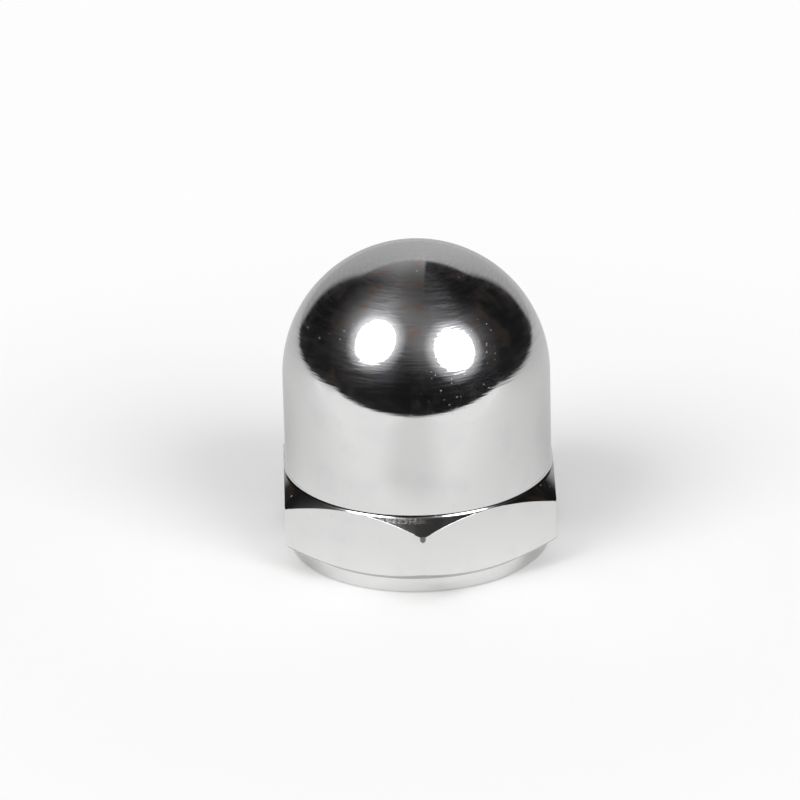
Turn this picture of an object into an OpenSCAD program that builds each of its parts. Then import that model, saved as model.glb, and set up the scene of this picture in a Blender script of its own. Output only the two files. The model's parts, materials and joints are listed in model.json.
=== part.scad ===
// Cap nut turned from hexagon bar: a hex with chamfers above and below, a plain
// barrel that ends in a half-round dome, a round collar to bear on, and a blind
// threaded hole from below. The collar's bearing face lies on z = 0, and the
// hole runs up the z axis.

/* [Hex] */
// Width across the flats
across_flats = 17; // [15:0.5:22]
// Height from the hex's lower face to the foot of the barrel
hex_h = 4.2; // [3:0.05:8]
// Slope of the turned chamfers above and below, in degrees
chamfer_angle = 30; // [15:1:40]
// How far the lower chamfer starts inside the flats
chamfer_inset = 0.15; // [0.05:0.05:0.3]
// Depth turned off the six upright corners
corner_break = 0.03; // [0.02:0.01:0.2]
// Radius that blends each chamfer into the upright corners
corner_round = 0.2; // [0.1:0.05:0.8]

/* [Barrel and dome] */
// How far the barrel lies inside the flats
barrel_inset = 0.1; // [0.05:0.05:1]
// Straight height of the barrel, up to where the dome starts
barrel_h = 6.1; // [2:0.05:12]
// Fillet where the barrel meets the upper chamfer
shoulder_round = 0.3; // [0.05:0.05:0.6]

/* [Collar] */
// How far the collar lies inside the foot of the lower chamfer
collar_step = 0.1; // [0.05:0.05:1]
// Height of the collar
collar_h = 1.05; // [0.5:0.05:3]
// Break on the edge of the bearing face
edge_break = 0.1; // [0.05:0.05:0.4]

/* [Thread] */
// Nominal diameter of the thread
thread_d = 10; // [6:1:12]
// Pitch of the thread
thread_pitch = 1.5; // [0.75:0.25:2]
// How much wider than the thread the countersunk mouth is, on each side
mouth_over = 0.2; // [0.1:0.05:0.6]
// Angle of the countersink, in degrees
mouth_angle = 90; // [60:5:120]
// Angle of the drill's point, in degrees
point_angle = 118; // [90:1:140]
// Metal left between the drill's point and the top of the dome
crown_wall = 2.7; // [1.5:0.1:6]

/* [Hidden] */
$fn = 180;
// Overlap that lets a round meet its straight sides with no gap
touch = 0.00002;
// Overrun of a cut past the face it opens
overrun = 0.5;

flat_r = across_flats / 2;
// A hexagon's corners lie half a side's angle from the middle of its flats
half_side = 360 / 6 / 2;
bar_r = flat_r / cos(half_side);
corner_r = bar_r - corner_break;
barrel_r = flat_r - barrel_inset;
chamfer_r = flat_r - chamfer_inset;
collar_r = chamfer_r - collar_step;

foot_z = collar_h + hex_h;
dome_z = foot_z + barrel_h;
top_z = dome_z + barrel_r;

// Heights at which the sloped chamfers would reach the turned corners
slope = tan(chamfer_angle);
low_corner_z = collar_h + (corner_r - chamfer_r) * slope;
high_corner_z = foot_z - (corner_r - barrel_r) * slope;

// Length along each side of a chamfer's corner that its round takes up
round_share = tan((90 - chamfer_angle) / 2);
corner_reach = corner_round * round_share;
shoulder_reach = shoulder_round * round_share;
along = [cos(chamfer_angle), sin(chamfer_angle)];

// The tapping drill is the thread's diameter less its pitch
drill_r = (thread_d - thread_pitch) / 2;
mouth_r = thread_d / 2 + mouth_over;
mouth_slope = tan(mouth_angle / 2);
mouth_h = (mouth_r - drill_r) / mouth_slope;
point_h = drill_r / tan(point_angle / 2);
drill_h = top_z - crown_wall - point_h;

// Centres of the rounds and of the fillet, as radius and height
low_round = [corner_r - corner_round, low_corner_z + corner_reach];
high_round = [corner_r - corner_round, high_corner_z - corner_reach];
fillet = [barrel_r + shoulder_round, foot_z + shoulder_reach];

// Outline with straight sides, cut back to the centre of each round
module straight_outline() {
    polygon([
        [0, 0],
        [collar_r - edge_break, 0],
        [collar_r, edge_break],
        [collar_r, collar_h],
        [chamfer_r, collar_h],
        [corner_r - corner_reach * along[0], low_corner_z - corner_reach * along[1]],
        low_round,
        [corner_r, low_round[1]],
        [corner_r, high_round[1]],
        high_round,
        [corner_r - corner_reach * along[0], high_corner_z + corner_reach * along[1]],
        [barrel_r + shoulder_reach * along[0], foot_z - shoulder_reach * along[1]],
        fillet,
        [barrel_r, fillet[1]],
        [barrel_r, dome_z],
        [0, dome_z]
    ]);
}

// Right half of the shape that the lathe leaves
module turned_outline() {
    difference() {
        union() {
            straight_outline();
            for (centre = [low_round, high_round])
                translate(centre)
                    circle(r = corner_round + touch);
            translate([0, dome_z])
                intersection() {
                    circle(r = barrel_r);
                    square(barrel_r);
                }
        }
        translate(fillet)
            circle(r = shoulder_round + touch);
    }
}

// Hexagon bar, with corners to the front and the back
module hex_bar() {
    translate([0, 0, -overrun])
        rotate(half_side)
            cylinder(r = bar_r, h = top_z + 2 * overrun, $fn = 6);
}

// Drilled hole with its point and its countersunk mouth
module threaded_hole() {
    rotate_extrude()
        polygon([
            [0, -overrun],
            [mouth_r + overrun * mouth_slope, -overrun],
            [drill_r, mouth_h],
            [drill_r, drill_h],
            [0, drill_h + point_h]
        ]);
}

module cap_nut() {
    color("silver")
        difference() {
            intersection() {
                hex_bar();
                rotate_extrude()
                    turned_outline();
            }
            threaded_hole();
        }
}

cap_nut();
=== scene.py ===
"""Cap nut: a plated and threaded nut modelled over its CAD frame, on a white paper stage with two lamps."""
import json
import math
from collections import Counter

import bpy
from bpy.props import FloatProperty, FloatVectorProperty, IntProperty, PointerProperty
from mathutils import Matrix, Vector


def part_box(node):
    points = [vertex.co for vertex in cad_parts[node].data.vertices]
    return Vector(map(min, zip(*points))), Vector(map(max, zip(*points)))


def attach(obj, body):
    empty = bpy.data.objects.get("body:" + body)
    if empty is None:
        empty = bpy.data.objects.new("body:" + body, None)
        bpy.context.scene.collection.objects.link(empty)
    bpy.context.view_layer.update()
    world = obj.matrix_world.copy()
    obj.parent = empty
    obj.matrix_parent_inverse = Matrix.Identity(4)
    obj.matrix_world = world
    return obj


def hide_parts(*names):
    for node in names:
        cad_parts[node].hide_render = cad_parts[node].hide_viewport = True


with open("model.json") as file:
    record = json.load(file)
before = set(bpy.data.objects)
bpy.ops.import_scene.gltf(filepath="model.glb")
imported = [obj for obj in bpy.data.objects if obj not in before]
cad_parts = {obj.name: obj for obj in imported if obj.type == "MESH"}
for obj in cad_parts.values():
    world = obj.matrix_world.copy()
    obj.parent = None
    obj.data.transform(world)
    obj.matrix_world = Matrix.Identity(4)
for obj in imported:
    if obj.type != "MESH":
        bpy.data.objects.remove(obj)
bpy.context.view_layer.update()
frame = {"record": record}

bl_info = {
    "name": "Cap Nut",
    "version": (1, 0, 0),
    "blender": (4, 5, 0),
    "location": "View3D > Sidebar > Cap Nut",
    "description": "Models a chrome-plated cap nut with its thread, and a white paper stage with two lamps",
    "category": "Add Mesh",
}

MM = 0.001
BODY = "root"
NODE = "cap_nut"
LOW, HIGH = (Vector(corner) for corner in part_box(NODE))
THREAD_MOUNT = next(mount for mount in frame["record"]["mounts"] if mount["name"] == "thread")

# Half the angle that a side of the hexagon fills, seen from its middle
HALF_SIDE = math.radians(30)
RIGHT_ANGLE = math.radians(90)
# Slope of the thread's flanks
FLANK = math.radians(30)
# Edges that turn by more than this stay sharp
SHARP = math.radians(40)

# How finely the nut is modelled
DOME_STEPS = 48
ROUND_SEGMENTS = 6
BREAK_SEGMENTS = 4
FLAT_SEGMENTS = 2
TAP_STEPS = 96

# The tap's ridge starts this part of a pitch short of the drilled wall, so that it cuts cleanly
OVERLAP_PART = 6
# Half the flat at the bottom of the thread's groove, as a part of the pitch
ROOT_PART = 16
# Turns of the tap below the bearing face
RUN_IN = 1.5

# Vertices closer than the first are one, and places closer than the second are the same
TOUCH = 1e-7
SAME = 1e-6
# The normal of an upright face rises by less than this
UPRIGHT = 1e-3


# Sizes

def length(name, description, default):
    """A length in metres that a user may change."""
    return FloatProperty(name=name, description=description, default=default, subtype="DISTANCE",
                         unit="LENGTH", precision=5, min=0.0)


def angle(name, description, degrees):
    """An angle that a user may change, given in degrees."""
    return FloatProperty(name=name, description=description, default=math.radians(degrees), subtype="ANGLE",
                         unit="ROTATION")


def direction(name, description, azimuth, elevation):
    """A direction that a user may change, given in degrees."""
    return FloatVectorProperty(name=name, description=description, size=2, unit="ROTATION",
                               default=(math.radians(azimuth), math.radians(elevation)))


def colour(name, description, default):
    """A colour that a user may change."""
    return FloatVectorProperty(name=name, description=description, default=default, subtype="COLOR",
                               min=0.0, max=1.0)


class CapNutSizes(bpy.types.PropertyGroup):
    """Sizes and colours of the nut"""

    across_flats: length("Across flats", "Width of the hexagon across its flats", HIGH.x - LOW.x)
    across_corners: length("Across corners", "Width across the turned corners", HIGH.y - LOW.y)
    height: length("Height", "Height from the bearing face to the top of the dome", HIGH.z - LOW.z)
    hex_height: length("Hex height", "From the hex's lower face to the foot of the barrel", 4.2 * MM)
    chamfer: angle("Chamfer", "Slope of the chamfers above and below the hex", 30)
    chamfer_inset: length("Chamfer inset", "How far the lower chamfer starts inside the flats", 0.15 * MM)
    corner_round: length("Corner round", "Radius that blends each chamfer into the corners", 0.2 * MM)
    flat_edge: length("Flat edge", "Width of the soft edge above and below each flat", 0.02 * MM)
    barrel_inset: length("Barrel inset", "How far the barrel lies inside the flats", 0.1 * MM)
    shoulder_round: length("Shoulder round", "Fillet where the barrel meets the hex", 0.3 * MM)
    collar_step: length("Collar step", "How far the collar lies inside the lower chamfer's foot", 0.1 * MM)
    collar_height: length("Collar height", "Height of the collar under the hex", 1.05 * MM)
    edge_break: length("Edge break", "Break on the edge of the bearing face", 0.1 * MM)
    drill_radius: length("Drill radius", "Radius of the tapping drill", THREAD_MOUNT["dims"]["r_mm"] * MM)
    thread_radius: length("Thread radius", "Radius at the bottom of the thread's groove", 5 * MM)
    thread_pitch: length("Thread pitch", "Rise of the thread in one turn", 1.5 * MM)
    thread_turns: IntProperty(name="Thread turns", description="Turns of the thread, the run-in included",
                              default=9, min=2, max=20)
    mouth_over: length("Mouth", "How much wider than the thread the mouth is, on each side", 0.2 * MM)
    point: angle("Drill point", "Angle of the drill's point", 118)
    crown_wall: length("Crown wall", "Metal between the drill's point and the top of the dome", 2.7 * MM)
    steps: IntProperty(name="Steps", description="Steps round a full turn", default=240, min=48, max=480)
    plate: colour("Plate", "Colour of the chrome plate", (0.79, 0.79, 0.785))
    smudge: colour("Smudge", "Colour of the plate under a smudge", (0.75, 0.755, 0.75))
    haze: colour("Haze", "Colour of the haze round bright reflections", (0.75, 0.74, 0.8))
    # Painted shade: the colour that darkens the front chamfer and the front corner's tip
    painted_shade: colour("Shade", "Colour of the plate under grime or tip_shade", (0.2, 0.19, 0.18))
    # Bare metal of the hole, also painted on the lower chamfer as shade in the crease under the hex
    bare_and_shade: colour("Bare metal", "Colour of the metal in the hole and on the lower chamfer", (0.5, 0.49, 0.47))
    stain: colour("Stain", "Colour of the metal in the hole where it is stained", (0.4, 0.385, 0.36))


class CapNutStage(bpy.types.PropertyGroup):
    """Camera, lamps and paper"""

    aim: FloatVectorProperty(name="Aim", description="Point that the camera looks at", subtype="TRANSLATION",
                             unit="LENGTH", precision=5, default=(-1.06 * MM, 0, 9.46 * MM))
    view_azimuth: angle("View azimuth", "Turn of the camera round the nut, from its front corner", -0.86)
    view_elevation: angle("View elevation", "Height of the camera above the floor, as an angle", 24.43)
    view_roll: angle("View roll", "Turn of the camera about its line of sight", -1.39)
    view_distance: length("View distance", "From the camera to the point it looks at", 418.3 * MM)
    lens: FloatProperty(name="Lens", description="Focal length in millimetres on a 36 mm sensor",
                        default=299.5, unit="CAMERA")
    left_lamp: direction("Left lamp", "Azimuth and elevation of the left lamp", -129.4, 43.3)
    right_lamp: direction("Right lamp", "Azimuth and elevation of the right lamp", 138.3, 36.4)
    lamp_distance: length("Lamp distance", "From each lamp to the nut", 12.0)
    lamp_spread: angle("Lamp spread", "Half the angle that a lamp fills, seen from the nut", 17.2)
    lamp_radiance: FloatProperty(name="Lamp radiance", description="Brightness of a lamp, where 1 is white",
                                 default=4.45)
    fill_height: length("Fill height", "Height of the soft light overhead", 6.0)
    fill_radius: length("Fill radius", "Radius of the soft light overhead", 5.0)
    fill_radiance: FloatProperty(name="Fill radiance", description="Brightness of the soft light overhead",
                                 default=0.73)
    paper: colour("Paper", "Colour of the floor", (0.95, 0.95, 0.95))
    paper_half_width: length("Paper half width", "From the nut to the paper's side edges", 205 * MM)
    paper_front: length("Paper front", "From the nut to the paper's front edge", 54 * MM)


# Shaders

WHITE = (1, 1, 1, 1)
# Colour sockets of a Mix node: its two inputs and its output
MIX_FIRST, MIX_SECOND, MIX_RESULT = 6, 7, 2
# A spot is full out to this share of its size
SPOT_CORE = 0.25
# Cells whose luck lies between this share of the limit and the limit have a faint spot
SPOT_LIMIT = 0.9


class Wire:
    """An output socket. Python's operators on it add Math nodes, so that shader maths reads as plain sums."""

    def __init__(self, graph, socket):
        self.graph = graph
        self.socket = socket

    def __add__(self, other):
        return self.graph.math("ADD", self, other)

    def __radd__(self, other):
        return self.graph.math("ADD", other, self)

    def __sub__(self, other):
        return self.graph.math("SUBTRACT", self, other)

    def __rsub__(self, other):
        return self.graph.math("SUBTRACT", other, self)

    def __mul__(self, other):
        return self.graph.math("MULTIPLY", self, other)

    def __rmul__(self, other):
        return self.graph.math("MULTIPLY", other, self)

    def __truediv__(self, other):
        return self.graph.math("DIVIDE", self, other)

    def __rtruediv__(self, other):
        return self.graph.math("DIVIDE", other, self)

    def __pow__(self, other):
        return self.graph.math("POWER", self, other)

    def __abs__(self):
        return self.graph.math("ABSOLUTE", self)


class Graph:
    """A material's or the world's node tree, emptied and ready to be filled."""

    def __init__(self, owner):
        owner.use_nodes = True
        self.tree = owner.node_tree
        self.tree.nodes.clear()

    def node(self, kind, settings=None, sockets=None):
        """Adds a node: its settings first, then the values or links of its input sockets."""
        made = self.tree.nodes.new(kind)
        for name, value in (settings or {}).items():
            setattr(made, name, value)
        for name, value in (sockets or {}).items():
            if isinstance(value, Wire):
                self.tree.links.new(value.socket, made.inputs[name])
            else:
                made.inputs[name].default_value = value
        return made

    def wire(self, kind, settings=None, sockets=None, output=0):
        """Adds a node and gives one of its outputs."""
        return Wire(self, self.node(kind, settings, sockets).outputs[output])

    def math(self, operation, *values):
        return self.wire("ShaderNodeMath", {"operation": operation}, dict(enumerate(values)))

    def step(self, value, low, high):
        """Rises smoothly from 0 at low to 1 at high, or falls where high is below low."""
        return self.wire("ShaderNodeMapRange", {"interpolation_type": "SMOOTHSTEP"},
                         {"Value": value, "From Min": low, "From Max": high})

    def noise(self, place, scale=1.0, detail=2.0):
        """Soft noise from 0 to 1, in 4D where the place has a W."""
        return self.wire("ShaderNodeTexNoise", {"noise_dimensions": "4D" if "W" in place else "3D"},
                         {**place, "Scale": scale, "Detail": detail})

    def spots(self, place, size, share, scale=1.0):
        """Round spots of a size relative to their cells, in a share of the cells."""
        cells = self.node("ShaderNodeTexVoronoi", {"voronoi_dimensions": "4D" if "W" in place else "3D"},
                          {**place, "Scale": scale})
        luck = self.xyz(Wire(self, cells.outputs["Color"]))[0]
        spot = self.step(Wire(self, cells.outputs["Distance"]), size, size * SPOT_CORE)
        return spot * self.step(luck, share, share * SPOT_LIMIT)

    def turned(self, fineness, wander):
        """A place for textures that run round the axis, as a lathe or a buffing wheel leaves them."""
        x, y, z = self.xyz(self.coordinates())
        radius = self.length(x, y)
        vector = self.wire("ShaderNodeCombineXYZ", sockets={
            "X": radius * fineness, "Y": z * fineness, "Z": x / radius * wander})
        return {"Vector": vector, "W": y / radius * wander}

    def bump(self, height):
        """A normal from a height in metres."""
        return self.wire("ShaderNodeBump", sockets={"Strength": 1.0, "Distance": 1.0, "Height": height})

    def tint(self, factor, first, second):
        """A colour between two others."""
        first, second = (part if isinstance(part, Wire) else (*part, 1) for part in (first, second))
        return self.wire("ShaderNodeMix", {"data_type": "RGBA"},
                         {"Factor": factor, MIX_FIRST: first, MIX_SECOND: second}, MIX_RESULT)

    def length(self, x, y):
        """Length of a vector in a plane."""
        return self.math("SQRT", x * x + y * y)

    def distance(self, vector, point):
        return self.wire("ShaderNodeVectorMath", {"operation": "DISTANCE"}, {0: vector, 1: point}, "Value")

    def xyz(self, vector):
        """The three parts of a vector."""
        parts = self.node("ShaderNodeSeparateXYZ", sockets={"Vector": vector})
        return [Wire(self, socket) for socket in parts.outputs]

    def coordinates(self, output="Object"):
        return self.wire("ShaderNodeTexCoord", output=output)

    def light_path(self, output):
        return self.wire("ShaderNodeLightPath", output=output)

    def mix(self, factor, first, second):
        """A Mix Shader."""
        return self.wire("ShaderNodeMixShader", sockets={0: factor, 1: first, 2: second})

    def surface(self, shader, target="ShaderNodeOutputMaterial"):
        self.node(target, sockets={"Surface": shader})


def new_material(name):
    material = bpy.data.materials.new(name)
    return material, Graph(material)


# Chrome: where a mark of the tools is 0 and where it is 1, as heights over the foot of the barrel
LINED = (0.0, 1 * MM)
BUFFED = (7 * MM, 12 * MM)
WAIST_BELOW = (6 * MM, 9 * MM)
WAIST_ABOVE = (13 * MM, 11 * MM)
# The same for the bearing face, as heights over it
FACED = (0.05 * MM, 0.0)
# Chrome: depths of these marks
LINE_DEPTH = 0.0015 * MM
WAIST_DEPTH = 0.004 * MM
FACING_DEPTH = 0.004 * MM
SCRATCH_DEPTH = 0.0025 * MM

# Chrome: levels of noise between which a mark fades in
STREAK_LEVELS = (0.4, 0.62)
PATCH_LEVELS = (0.4, 0.65)
SMUDGE_LEVELS = (0.5, 0.72)
FLAKE_LEVELS = (0.2, 0.65)

# Chrome: patches on the dome where it is pitted, each with its middle and its reach
PITTED_AT = (
    ((2.6 * MM, -7.6 * MM, 13.6 * MM), 3.2 * MM),
    ((3.86 * MM, -5.73 * MM, 16.0 * MM), 2.2 * MM),
    ((-4.0 * MM, -5.5 * MM, 16.1 * MM), 1.5 * MM),
)
# Such a patch is full out to this share of its reach
PITTED_CORE = 0.4
# How much of the plate is gone in the pinholes all over, and in the pits of the patches
PINHOLE_LOSS = 0.5
PIT_LOSS = 0.6

# Chrome: how close to a chamfer's slope the plate counts as that chamfer, below and above the hex
LOWER_CLOSE = (0.09 * MM, 0.03 * MM)
UPPER_CLOSE = (0.03 * MM, 0.01 * MM)
# The dull lower chamfer, darker as painted shade, starts over the collar, at these heights
DULL_SHADE_FROM = (0.5 * MM, 0.8 * MM)
# Chrome: where the upper chamfer's front starts, and how far scale and the painted shade reach on it
FRONT_FROM = (-7.9 * MM, -8.3 * MM)
SCALE_ACROSS = (0.9 * MM, -0.6 * MM)
SCALE_OUT = (0.52 * MM, 0.38 * MM)
PAINTED_SHADE_ACROSS = (1.7 * MM, 0.9 * MM)
# How strongly painted shade darkens the front chamfer, and how much of it scale hides
PAINTED_SHADE_STRENGTH = 0.66
SCALE_COVER = 0.6
# Chrome: top of the front corner, where shade is painted on it, and the reach of that painted shade
SHADED_TIP_AT = (0.0, -9.78 * MM, 4.34 * MM)
SHADED_TIP_REACH = (0.25 * MM, 0.15 * MM)

# Chrome: roughness of the polish, and what each mark adds to it
POLISH_ROUGHNESS = 0.035
LINE_ROUGHNESS = 0.03
CHAMFER_ROUGHNESS = 0.3
PIT_ROUGHNESS = 0.5
FACING_ROUGHNESS = 0.12
SCALE_ROUGHNESS = 0.33
SHADED_TIP_ROUGHNESS = 0.35

# Chrome: haze, all round a reflection, and smear, across the buffing lines, with their shares
HAZE_ROUGHNESS = 0.26
HAZE_ALL_OVER = 0.03
HAZE_IN_SMUDGES = 0.05
HAZE_ON_DOME = 0.03
HAZE_IN_STREAKS = 0.16
SMEAR_ROUGHNESS = 0.28
SMEAR_STRETCH = 0.85
SMEAR_TURN = 0.25
SMEAR_ON_DOME = 0.045
SMEAR_IN_STREAKS = 0.14


def chrome_plate(sizes):
    """Polished chrome: a sharp mirror with buffing lines, pits and smudges, hazier over the dome, and painted
    shade on its chamfers.
    """
    material, graph = new_material("chrome_plate")
    place = {"Vector": graph.coordinates()}
    x, y, height = graph.xyz(place["Vector"])
    radius = graph.length(x, y)
    slope = math.tan(sizes.chamfer)
    flat_r = sizes.across_flats / 2
    over_barrel = radius - (flat_r - sizes.barrel_inset)
    over_foot = height - (sizes.collar_height + sizes.hex_height)

    # Marks of the lathe and the buffing wheel
    upper = graph.step(over_foot, *LINED)
    buffed = graph.step(over_foot, *BUFFED)
    waist = graph.step(over_foot, *WAIST_BELOW) * graph.step(over_foot, *WAIST_ABOVE)
    faced = graph.step(height, *FACED)
    lines = graph.noise(graph.turned(fineness=8 / MM, wander=4.5), detail=3.0)
    streaks = graph.step(lines, *STREAK_LEVELS)
    scratches = graph.spots(graph.turned(fineness=3 / MM, wander=1.6), size=0.08, share=0.5)
    normal = graph.bump(lines * (upper * LINE_DEPTH + waist * WAIST_DEPTH + faced * FACING_DEPTH)
                        - scratches * upper * SCRATCH_DEPTH)

    # Pinholes, pits and smudges
    patches = graph.step(graph.noise(place, scale=0.25 / MM), *PATCH_LEVELS)
    pitted = 0.0
    for middle, reach in PITTED_AT:
        near = graph.step(graph.distance(place["Vector"], middle), reach, reach * PITTED_CORE)
        pitted = graph.math("MAXIMUM", pitted, near)
    pinholes = (PINHOLE_LOSS * graph.spots(place, size=0.13, share=0.4, scale=1.6 / MM) * patches
                + PIT_LOSS * graph.spots(place, size=0.22, share=0.5, scale=4 / MM) * pitted)
    smudges = graph.step(graph.noise(place, scale=0.45 / MM, detail=4.0), *SMUDGE_LEVELS)

    # The lower chamfer, which no buffing wheel reaches, is rougher; its darker colour is painted shade in the
    # crease between the hex and the collar
    off_lower = height - sizes.collar_height - (radius - flat_r + sizes.chamfer_inset) * slope
    dull_and_shaded = graph.step(abs(off_lower), *LOWER_CLOSE) * graph.step(height, *DULL_SHADE_FROM)

    # Scale on the upper chamfer's front corner, painted shade on that front, and painted shade at the
    # corner's tip
    off_upper = over_foot + over_barrel * slope
    front = graph.step(abs(off_upper), *UPPER_CLOSE) * graph.step(y, *FRONT_FROM)
    flakes = graph.step(graph.noise(place, scale=6 / MM, detail=3.0), *FLAKE_LEVELS)
    scale = front * flakes * graph.step(x, *SCALE_ACROSS) * graph.step(over_barrel, *SCALE_OUT)
    painted_shade = front * graph.step(abs(x), *PAINTED_SHADE_ACROSS) * (1 - SCALE_COVER * scale)
    # Painted shade, darker and rougher, at the top of the front corner
    shaded_tip = graph.step(graph.distance(place["Vector"], SHADED_TIP_AT), *SHADED_TIP_REACH)

    polish = graph.tint(smudges, sizes.plate, sizes.smudge)
    # Painted shade in the crease under the hex: the lower chamfer takes the bare colour
    crease_shaded = graph.tint(dull_and_shaded, polish, sizes.bare_and_shade)
    # Painted shade on the front chamfer and at the front corner's tip
    darkened = graph.math("MAXIMUM", PAINTED_SHADE_STRENGTH * painted_shade, shaded_tip)
    roughness = (POLISH_ROUGHNESS + LINE_ROUGHNESS * lines + CHAMFER_ROUGHNESS * dull_and_shaded
                 + PIT_ROUGHNESS * pinholes + FACING_ROUGHNESS * faced + SCALE_ROUGHNESS * scale
                 + SHADED_TIP_ROUGHNESS * shaded_tip)
    mirror = graph.wire("ShaderNodeBsdfPrincipled", sockets={
        "Base Color": graph.tint(darkened, crease_shaded, sizes.painted_shade), "Metallic": 1 - pinholes,
        "Roughness": roughness, "Normal": normal})
    haze = graph.wire("ShaderNodeBsdfPrincipled", sockets={
        "Base Color": (*sizes.haze, 1), "Metallic": 1.0, "Roughness": HAZE_ROUGHNESS, "Normal": normal})
    smear = graph.wire("ShaderNodeBsdfPrincipled", sockets={
        "Base Color": (*sizes.haze, 1), "Metallic": 1.0, "Roughness": SMEAR_ROUGHNESS,
        "Anisotropic": SMEAR_STRETCH, "Anisotropic Rotation": SMEAR_TURN, "Normal": normal})
    hazed = (HAZE_ALL_OVER + HAZE_IN_SMUDGES * smudges
             + buffed * (HAZE_ON_DOME + HAZE_IN_STREAKS * streaks))
    smeared = buffed * (SMEAR_ON_DOME + SMEAR_IN_STREAKS * streaks)
    graph.surface(graph.mix(smeared, graph.mix(hazed, mirror, haze), smear))
    return material


# Bare metal: depth of the tools' marks, its roughness, and what marks and stains add to that
TOOL_MARK_DEPTH = 0.006 * MM
BARE_ROUGHNESS = 0.24
TOOL_MARK_ROUGHNESS = 0.2
STAIN_ROUGHNESS = 0.08
# Levels of noise between which a stain fades in
STAIN_LEVELS = (0.4, 0.7)


def tapped_metal(sizes):
    """Bare cut metal of the drilled and tapped hole, with the tools' marks round it."""
    material, graph = new_material("tapped_metal")
    marks = graph.noise(graph.turned(fineness=9 / MM, wander=1.2), detail=4.0)
    clouds = graph.noise({"Vector": graph.coordinates()}, scale=0.5 / MM, detail=3.0)
    stain = graph.step(clouds, *STAIN_LEVELS)
    graph.surface(graph.wire("ShaderNodeBsdfPrincipled", sockets={
        "Base Color": graph.tint(stain, sizes.bare_and_shade, sizes.stain), "Metallic": 1.0,
        "Roughness": BARE_ROUGHNESS + TOOL_MARK_ROUGHNESS * marks + STAIN_ROUGHNESS * stain,
        "Normal": graph.bump(marks * TOOL_MARK_DEPTH)}))
    return material


# Modelling

def deselect():
    if bpy.context.object and bpy.context.object.mode != "OBJECT":
        bpy.ops.object.mode_set(mode="OBJECT")
    bpy.ops.object.select_all(action="DESELECT")


def pick(piece):
    """Makes one object the active and only selected one."""
    deselect()
    piece.select_set(True)
    bpy.context.view_layer.objects.active = piece


def select_where(piece, domain, test):
    """Leaves only those vertices or edges selected that pass a test, and stays in edit mode."""
    bpy.ops.object.mode_set(mode="EDIT")
    bpy.ops.mesh.select_mode(type={"vertices": "VERT", "edges": "EDGE"}[domain])
    bpy.ops.mesh.select_all(action="DESELECT")
    bpy.ops.object.mode_set(mode="OBJECT")
    for part in getattr(piece.data, domain):
        part.select = test(part)
    bpy.ops.object.mode_set(mode="EDIT")


def chain(name, points):
    """Edges through points of radius and height, extruded one after another from a plane's middle."""
    deselect()
    bpy.ops.mesh.primitive_plane_add(size=MM, location=(0, 0, 0))
    piece = bpy.context.object
    piece.name = piece.data.name = name
    bpy.ops.object.mode_set(mode="EDIT")
    bpy.ops.mesh.select_mode(type="VERT")
    bpy.ops.mesh.merge(type="CENTER")
    corners = [Vector((r, 0, z)) for r, z in points]
    bpy.ops.transform.translate(value=corners[0])
    for here, there in zip(corners, corners[1:]):
        bpy.ops.mesh.extrude_vertices_move(TRANSFORM_OT_translate={"value": there - here})
    return piece


def round_corner(piece, corner, reach, segments):
    """Rounds one corner of a chain, from reach before it to reach after it."""
    place = Vector((corner[0], 0, corner[1]))
    select_where(piece, "vertices", lambda vertex: (vertex.co - place).length < SAME)
    bpy.ops.mesh.bevel(offset=reach, segments=segments, affect="VERTICES", clamp_overlap=False)


def spin_round(steps):
    """Spins the selected chain into a closed turned shape with outward normals."""
    bpy.ops.mesh.select_all(action="SELECT")
    bpy.ops.mesh.spin(steps=steps, angle=math.tau, center=(0, 0, 0), axis=(0, 0, 1))
    bpy.ops.mesh.select_all(action="SELECT")
    bpy.ops.mesh.remove_doubles(threshold=TOUCH)
    bpy.ops.mesh.normals_make_consistent(inside=False)
    bpy.ops.object.mode_set(mode="OBJECT")


def boolean(piece, cutter, operation):
    """Combines a piece with a cutter and takes the cutter away. The solver gives the same mesh each run."""
    pick(piece)
    modifier = piece.modifiers.new(operation.lower(), "BOOLEAN")
    modifier.operation = operation
    modifier.solver = "MANIFOLD"
    modifier.object = cutter
    bpy.ops.object.modifier_apply(modifier=modifier.name)
    bpy.data.objects.remove(cutter, do_unlink=True)


def weld(piece, reach):
    """Merges the vertices that lie no further apart than reach."""
    pick(piece)
    bpy.ops.object.mode_set(mode="EDIT")
    bpy.ops.mesh.select_all(action="SELECT")
    bpy.ops.mesh.remove_doubles(threshold=reach)
    bpy.ops.object.mode_set(mode="OBJECT")


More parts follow.
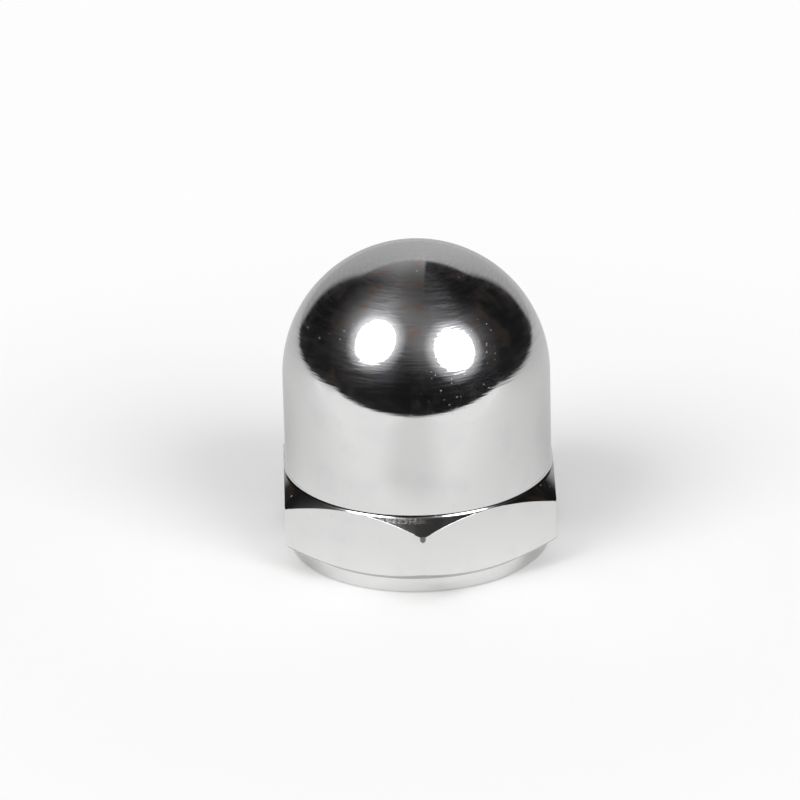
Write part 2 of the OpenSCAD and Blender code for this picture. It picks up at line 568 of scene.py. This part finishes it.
def turned_blank(sizes):
    """The nut as the lathe leaves it, drilled but with no flats and no thread."""
    flat_r = sizes.across_flats / 2
    corner_r = sizes.across_corners / 2
    barrel_r = flat_r - sizes.barrel_inset
    chamfer_r = flat_r - sizes.chamfer_inset
    collar_r = chamfer_r - sizes.collar_step
    slope = math.tan(sizes.chamfer)
    foot_z = sizes.collar_height + sizes.hex_height
    dome_z = sizes.height - barrel_r
    mouth_r = sizes.thread_radius + sizes.mouth_over
    point_h = sizes.drill_radius / math.tan(sizes.point / 2)
    point_z = sizes.height - sizes.crown_wall

    bearing_edge = (collar_r, 0)
    low_corner = (corner_r, sizes.collar_height + (corner_r - chamfer_r) * slope)
    high_corner = (corner_r, foot_z - (corner_r - barrel_r) * slope)
    foot = (barrel_r, foot_z)
    piece = chain("cap_nut_body", [
        (0, point_z),
        (sizes.drill_radius, point_z - point_h),
        (sizes.drill_radius, mouth_r - sizes.drill_radius),
        (mouth_r, 0),
        bearing_edge,
        (collar_r, sizes.collar_height),
        (chamfer_r, sizes.collar_height),
        low_corner,
        high_corner,
        foot,
        (barrel_r, dome_z),
    ])
    bpy.ops.mesh.spin(steps=DOME_STEPS, angle=RIGHT_ANGLE, center=(0, 0, dome_z), axis=(0, 1, 0))

    # A round's tangent points lie this share of its radius from the corner
    reach = math.tan((RIGHT_ANGLE - sizes.chamfer) / 2)
    round_corner(piece, bearing_edge, sizes.edge_break, BREAK_SEGMENTS)
    for corner in (low_corner, high_corner):
        round_corner(piece, corner, sizes.corner_round * reach, ROUND_SEGMENTS)
    round_corner(piece, foot, sizes.shoulder_round * reach, ROUND_SEGMENTS)
    spin_round(sizes.steps)
    return piece


def hex_bar(sizes):
    """Hexagon bar with corners to the front and the back, longer than the nut."""
    deselect()
    bpy.ops.mesh.primitive_cylinder_add(vertices=6, radius=sizes.across_flats / 2 / math.cos(HALF_SIDE),
                                        depth=2 * sizes.height, location=(0, 0, sizes.height / 2))
    return bpy.context.object


def is_flat(face, sizes):
    """True for a face that lies in one of the six flats and isn't a sliver."""
    off_plane = face.center.dot(face.normal) - sizes.across_flats / 2
    return abs(face.normal.z) < UPRIGHT and abs(off_plane) < SAME and face.area > MM ** 2


def soften_flats(piece, sizes):
    """Bevels the arcs where the chamfers cut the flats, since plating leaves no edge sharp. The bevels run
    out before the corners' rounds and before the fillet."""
    # Vertices closer together than the bevel is wide would fold it
    weld(piece, sizes.flat_edge / 2)
    mesh = piece.data
    on_flats = Counter(key for face in mesh.polygons if is_flat(face, sizes) for key in face.edge_keys)
    middle = sizes.collar_height + sizes.hex_height / 2
    fillet_end = sizes.across_flats / 2 - sizes.barrel_inset + sizes.shoulder_round / 2
    corner_start = sizes.across_corners / 2 - sizes.corner_round

    def on_arc(edge):
        spot = sum((mesh.vertices[index].co for index in edge.vertices), Vector()) / 2
        clear = spot.z < middle or spot.xy.length > fillet_end + sizes.flat_edge
        return on_flats[edge.key] == 1 and clear and spot.xy.length < corner_start

    select_where(piece, "edges", on_arc)
    bpy.ops.mesh.bevel(offset=sizes.flat_edge, segments=FLAT_SEGMENTS, affect="EDGES", clamp_overlap=False)
    bpy.ops.object.mode_set(mode="OBJECT")


def tap(sizes):
    """A helical ridge in the shape of the thread's groove, right-handed, from below the mouth upwards."""
    pitch = sizes.thread_pitch
    inner_r = sizes.drill_radius - pitch / OVERLAP_PART
    root_half = pitch / ROOT_PART
    inner_half = root_half + (sizes.thread_radius - inner_r) * math.tan(FLANK)
    start = -RUN_IN * pitch
    piece = chain("tap", [
        (inner_r, start - inner_half),
        (sizes.thread_radius, start - root_half),
        (sizes.thread_radius, start + root_half),
        (inner_r, start + inner_half),
    ])
    bpy.ops.mesh.select_all(action="SELECT")
    bpy.ops.mesh.edge_face_add()
    bpy.ops.mesh.delete(type="ONLY_FACE")
    bpy.ops.object.mode_set(mode="OBJECT")
    screw = piece.modifiers.new("thread", "SCREW")
    screw.axis = "Z"
    screw.angle = math.tau
    screw.screw_offset = pitch
    screw.iterations = sizes.thread_turns
    screw.steps = screw.render_steps = TAP_STEPS
    screw.use_smooth_shade = False
    bpy.ops.object.modifier_apply(modifier=screw.name)
    bpy.ops.object.mode_set(mode="EDIT")
    bpy.ops.mesh.select_all(action="SELECT")
    bpy.ops.mesh.remove_doubles(threshold=TOUCH)
    bpy.ops.mesh.fill_holes(sides=4)
    bpy.ops.mesh.normals_make_consistent(inside=False)
    bpy.ops.object.mode_set(mode="OBJECT")
    return piece


class CAPNUT_OT_body(bpy.types.Operator):
    """Model the nut: a turned and drilled blank, cut to a hexagon, softened at its flats and tapped"""

    bl_idname = "cap_nut.body"
    bl_label = "Nut"

    def execute(self, context):
        sizes = context.scene.cap_nut_sizes
        piece = turned_blank(sizes)
        boolean(piece, hex_bar(sizes), "INTERSECT")
        soften_flats(piece, sizes)
        boolean(piece, tap(sizes), "DIFFERENCE")
        # The tap leaves vertices that all but touch
        weld(piece, sizes.flat_edge / 10)

        # The cutters leave an empty slot, which would come before the nut's own
        piece.data.materials.clear()
        piece.data.materials.append(chrome_plate(sizes))
        piece.data.materials.append(tapped_metal(sizes))
        mouth_r = sizes.thread_radius + sizes.mouth_over
        for face in piece.data.polygons:
            inside = face.center.xy.length < mouth_r and face.center.z < sizes.height - sizes.crown_wall
            face.material_index = 1 if inside else 0

        pick(piece)
        bpy.ops.object.shade_smooth_by_angle(angle=SHARP)
        weighted = piece.modifiers.new("weighted", "WEIGHTED_NORMAL")
        weighted.keep_sharp = True
        bpy.ops.object.modifier_apply(modifier=weighted.name)
        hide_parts(NODE)
        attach(piece, BODY)
        return {"FINISHED"}


# Stage

# Width of the camera's sensor in millimetres
SENSOR = 36
CLIP_START = 10 * MM
# The floor lies a hair below the bearing face
FLOOR_WIDTH = 8
FLOOR_DROP = 0.01 * MM

# Paper in metal: slant and bow of its front edge, and shares of its size between which its edges fade
PAPER_SLANT = 0.05
PAPER_BOW = 0.09
SIDE_FADE = (1.5, 0.5)
FRONT_FADE = (1.09, 0.91)
# Paper in metal, with lamp light painted on: its brightness far from the lamps, what the lamps add, and how
# fast that fades
PAPER_FAR = 0.43
PAPER_LIT = 0.55
PAPER_FADE = 38 * MM
# The fading starts at a slanted line this far in front of the nut, and only clear of the nut
LIT_LINE = 22 * MM
LIT_SLANT = 0.2
LIT_CLEAR = (10 * MM, 24 * MM)
# Paper in metal: painted shade in a ring round the nut, and in a place towards the camera
RING_INNER = (10 * MM, 14 * MM)
RING_OUTER = (36 * MM, 24 * MM)
RING_SHADE = 0.03
FRONT_MIDDLE = -2.5 * MM
FRONT_WIDTH = (14 * MM, 3 * MM)
FRONT_START = (-19 * MM, -25 * MM)
FRONT_SHADE = 0.16
# Floor to the camera: white far from the nut, and painted light to both sides of the nut, for the light that
# it throws
FLOOR_WHITE = 0.985
FLOOR_FAR = (15 * MM, 60 * MM)
THROWN_LIGHT = 0.32
THROWN_ASIDE = 9 * MM
THROWN_FRONT = 2.5 * MM
THROWN_REACH = (6 * MM, 0.0)

# Room in metal: strengths of its dark, its patches, the card, the wall and the lamps' rims
ROOM_DARK = 0.006
CLUTTER_STRENGTH = 0.025
CARD_STRENGTH = 0.45
WALL_STRENGTH = 0.3
RIM_STRENGTH = 0.48
# A lamp's rim ends at the first share of the lamp's spread, and is full from the second inwards
RIM_END = 1.62
RIM_CORE = 0.9
# Directions beside and before the nut count as this far behind it, which keeps their places finite
LEAST_BEHIND = 0.001
# Room in metal: the card on an upright plane one unit behind the nut. Its middle, the lean of its sides, how
# much wider its foot and taller its right part is, and where these start
CARD_MIDDLE = 0.05
CARD_LEAN = 0.08
CARD_FLARE = 0.1
CARD_RISE = 0.04
FOOT_BELOW = (0.3, 0.0)
RIGHT_FROM = (0.1, 0.2)
# Where the card's sides, top and foot fade
CARD_SIDES = (0.88, 0.62)
CARD_TOP = (1.02, 0.82)
CARD_FOOT = (-0.055, -0.035)
# The card is brightest at this place, and dims to both sides
CARD_BEST = 0.12
CARD_PEAK = 1.06
CARD_DIM = 0.4
# Room in metal: where the wall's left, right, front, foot and top fade
WALL_LEFT = (-0.85, -0.1)
WALL_RIGHT = (0.13, 0.1)
WALL_FRONT = (0.0, 0.1)
WALL_FOOT = (0.8, 1.0)
WALL_TOP = (1.03, 0.65)
# Room in metal: levels of noise between which its patches fade in, and of other light that hides them
CLUTTER_LEVELS = (0.5, 0.75)
CLUTTER_HIDDEN = (0.05, 0.0)
NEUTRAL = (1.0, 1.0, 1.0)
WARM = (1.0, 0.6, 0.4)
# Room in metal: lit parts, each with azimuth and elevation in degrees, focus and strength
ROOM_GLOWS = (
    (-118, 60, 10, 0.18),
    (150, 60, 16, 0.085),
    (-98, 48, 40, 0.13),
    (168, 42, 30, 0.12),
    (180, 66, 20, 0.04),
    (108, 40, 25, 0.055),
    (-40, 72, 12, 0.042),
)


def toward(azimuth, elevation):
    """Unit vector at an azimuth from the back of the nut, and an elevation."""
    return Vector((math.cos(elevation) * math.sin(azimuth), math.cos(elevation) * math.cos(azimuth),
                   math.sin(elevation)))


def add_camera(stage):
    """A camera at the photograph's viewing angle."""
    aim = Vector(stage.aim)
    back = toward(math.pi - stage.view_azimuth, stage.view_elevation)
    turn = back.to_track_quat("Z", "Y").to_matrix() @ Matrix.Rotation(stage.view_roll, 3, "Z")
    deselect()
    bpy.ops.object.camera_add()
    camera = bpy.context.object
    camera.matrix_world = Matrix.Translation(aim + back * stage.view_distance) @ turn.to_4x4()
    camera.data.lens = stage.lens
    camera.data.sensor_width = SENSOR
    camera.data.clip_start = CLIP_START
    bpy.context.scene.camera = camera


def add_light(name, location, radius, radiance):
    """A round soft light that faces the nut and that the camera doesn't see."""
    deselect()
    bpy.ops.object.light_add(type="AREA")
    light = bpy.context.object
    light.name = light.data.name = name
    turn = location.to_track_quat("Z", "Y").to_matrix()
    light.matrix_world = Matrix.Translation(location) @ turn.to_4x4()
    light.data.shape = "DISK"
    light.data.size = 2 * radius
    # A disk gives off its radiance times its area times pi
    light.data.energy = radiance * (math.pi * radius) ** 2
    light.visible_camera = False
    return light


def add_lights(stage):
    """Two round lamps in front of the nut, and a soft light overhead that metal doesn't show."""
    radius = stage.lamp_distance * math.tan(stage.lamp_spread)
    for name, place in (("left_lamp", stage.left_lamp), ("right_lamp", stage.right_lamp)):
        add_light(name, toward(*place) * stage.lamp_distance, radius, stage.lamp_radiance)
    fill = add_light("fill", Vector((0, 0, stage.fill_height)), stage.fill_radius, stage.fill_radiance)
    fill.visible_glossy = False


def paper(stage):
    """White paper. Metal shows the sheet as far as it reaches, with painted light and shade: dimmer away from
    the lamps, round the nut and towards the camera. The camera sees the nut's shadow, white further out, and
    painted light beside the nut."""
    material, graph = new_material("paper")
    x, y, _ = graph.xyz(graph.coordinates())
    radius = graph.length(x, y)

    # The sheet as metal shows it, with painted lamp light and painted shade
    to_front = y + PAPER_SLANT * x + PAPER_BOW * abs(x)
    sheet = (graph.step(abs(x) / stage.paper_half_width, *SIDE_FADE)
             * graph.step(to_front / -stage.paper_front, *FRONT_FADE))
    away = graph.math("MAXIMUM", y + LIT_SLANT * x + LIT_LINE, 0.0) * graph.step(radius, *LIT_CLEAR)
    bright = PAPER_FAR + PAPER_LIT / (1 + away / PAPER_FADE)
    ring = graph.step(radius, *RING_INNER) * graph.step(radius, *RING_OUTER)
    front = graph.step(abs(x - FRONT_MIDDLE), *FRONT_WIDTH) * graph.step(y, *FRONT_START)
    shade = 1 - RING_SHADE * ring - FRONT_SHADE * front

    # The floor as the camera sees it
    far = graph.step(radius, *FLOOR_FAR)
    # Painted light beside the nut, for the light that its flats throw onto the paper
    thrown_at = graph.length(abs(x) - THROWN_ASIDE, y + THROWN_FRONT)
    thrown = THROWN_LIGHT * graph.step(thrown_at, *THROWN_REACH)
    white = graph.wire("ShaderNodeBsdfDiffuse", sockets={"Color": (*stage.paper, 1)})
    glow = graph.wire("ShaderNodeEmission", sockets={"Color": WHITE, "Strength": FLOOR_WHITE})
    clear = graph.wire("ShaderNodeBsdfTransparent")
    seen = graph.mix(graph.light_path("Is Camera Ray") * graph.math("MAXIMUM", far, thrown), white, glow)
    graph.surface(graph.mix(graph.light_path("Is Glossy Ray") * (1 - sheet * bright * shade), seen, clear))
    return material


def add_floor(stage):
    """A plain pale floor under the nut."""
    deselect()
    bpy.ops.mesh.primitive_plane_add(size=FLOOR_WIDTH, location=(0, 0, -FLOOR_DROP))
    floor = bpy.context.object
    floor.name = floor.data.name = "floor"
    bpy.ops.object.transform_apply(location=True)
    floor.data.materials.append(paper(stage))


def light_room(stage):
    """A dark room: a grey card behind the nut, a wall above it and the lamps' glow. The camera sees white."""
    world = bpy.data.worlds.new("room")
    bpy.context.scene.world = world
    graph = Graph(world)
    way = graph.coordinates("Generated")
    x, y, z = graph.xyz(way)

    def near(place):
        """Cosine of the angle to a direction, and nothing behind."""
        other = toward(*place)
        return graph.math("MAXIMUM", x * other.x + y * other.y + z * other.z, 0.0)

    # Places on an upright plane behind the nut, one unit away
    behind = graph.math("MAXIMUM", y, LEAST_BEHIND)
    across = x / behind
    up = z / behind

    foot = graph.step(up, *FOOT_BELOW)
    right = graph.step(across, *RIGHT_FROM)
    aside = abs(across - CARD_MIDDLE) + CARD_LEAN * up - CARD_FLARE * foot
    card = (graph.step(aside, *CARD_SIDES) * graph.step(up - CARD_RISE * right, *CARD_TOP)
            * graph.step(z, *CARD_FOOT) * (CARD_PEAK - CARD_DIM * abs(across - CARD_BEST)))
    wall = (graph.step(across, *WALL_LEFT) * graph.step(x, *WALL_RIGHT) * graph.step(y, *WALL_FRONT)
            * graph.step(up, *WALL_FOOT) * graph.step(z, *WALL_TOP))

    rim_edges = [math.cos(share * stage.lamp_spread) for share in (RIM_END, RIM_CORE)]
    rim = sum(graph.step(near(place), *rim_edges) for place in (stage.left_lamp, stage.right_lamp))
    glow = sum(strength * near((math.radians(azimuth), math.radians(elevation))) ** focus
               for azimuth, elevation, focus, strength in ROOM_GLOWS)
    patches = graph.step(graph.noise({"Vector": way}, scale=5.0, detail=3.0), *CLUTTER_LEVELS)
    clutter = patches * graph.step(rim + card, *CLUTTER_HIDDEN)
    room = graph.wire("ShaderNodeBackground", sockets={
        "Color": graph.tint(clutter, NEUTRAL, WARM),
        "Strength": (ROOM_DARK + clutter * CLUTTER_STRENGTH + card * CARD_STRENGTH + wall * WALL_STRENGTH
                     + rim * RIM_STRENGTH + glow)})
    white = graph.wire("ShaderNodeBackground", sockets={"Color": WHITE, "Strength": 1.0})
    graph.surface(graph.mix(graph.light_path("Is Camera Ray"), room, white), "ShaderNodeOutputWorld")


class CAPNUT_OT_stage(bpy.types.Operator):
    """Set the stage: camera, paper floor, two round lamps and a dark room"""

    bl_idname = "cap_nut.stage"
    bl_label = "Stage"

    def execute(self, context):
        stage = context.scene.cap_nut_stage
        add_camera(stage)
        add_floor(stage)
        add_lights(stage)
        light_room(stage)
        context.scene.view_settings.view_transform = "Standard"
        return {"FINISHED"}


# Panel

class CAPNUT_PT_panel(bpy.types.Panel):
    """Lists the nut's sizes, the stage's settings and the operators that use them"""

    bl_idname = "CAPNUT_PT_panel"
    bl_label = "Cap Nut"
    bl_space_type = "VIEW_3D"
    bl_region_type = "UI"
    bl_category = "Cap Nut"

    def draw(self, context):
        for group, operator in ((context.scene.cap_nut_sizes, CAPNUT_OT_body),
                                (context.scene.cap_nut_stage, CAPNUT_OT_stage)):
            column = self.layout.column()
            for name in group.__annotations__:
                column.prop(group, name)
            column.operator(operator.bl_idname)


CLASSES = (CapNutSizes, CapNutStage, CAPNUT_OT_body, CAPNUT_OT_stage, CAPNUT_PT_panel)


def register():
    for cls in CLASSES:
        bpy.utils.register_class(cls)
    bpy.types.Scene.cap_nut_sizes = PointerProperty(type=CapNutSizes)
    bpy.types.Scene.cap_nut_stage = PointerProperty(type=CapNutStage)


def unregister():
    del bpy.types.Scene.cap_nut_stage
    del bpy.types.Scene.cap_nut_sizes
    for cls in reversed(CLASSES):
        bpy.utils.unregister_class(cls)


def main():
    register()
    bpy.ops.cap_nut.body()
    bpy.ops.cap_nut.stage()


if __name__ == "__main__":
    main()
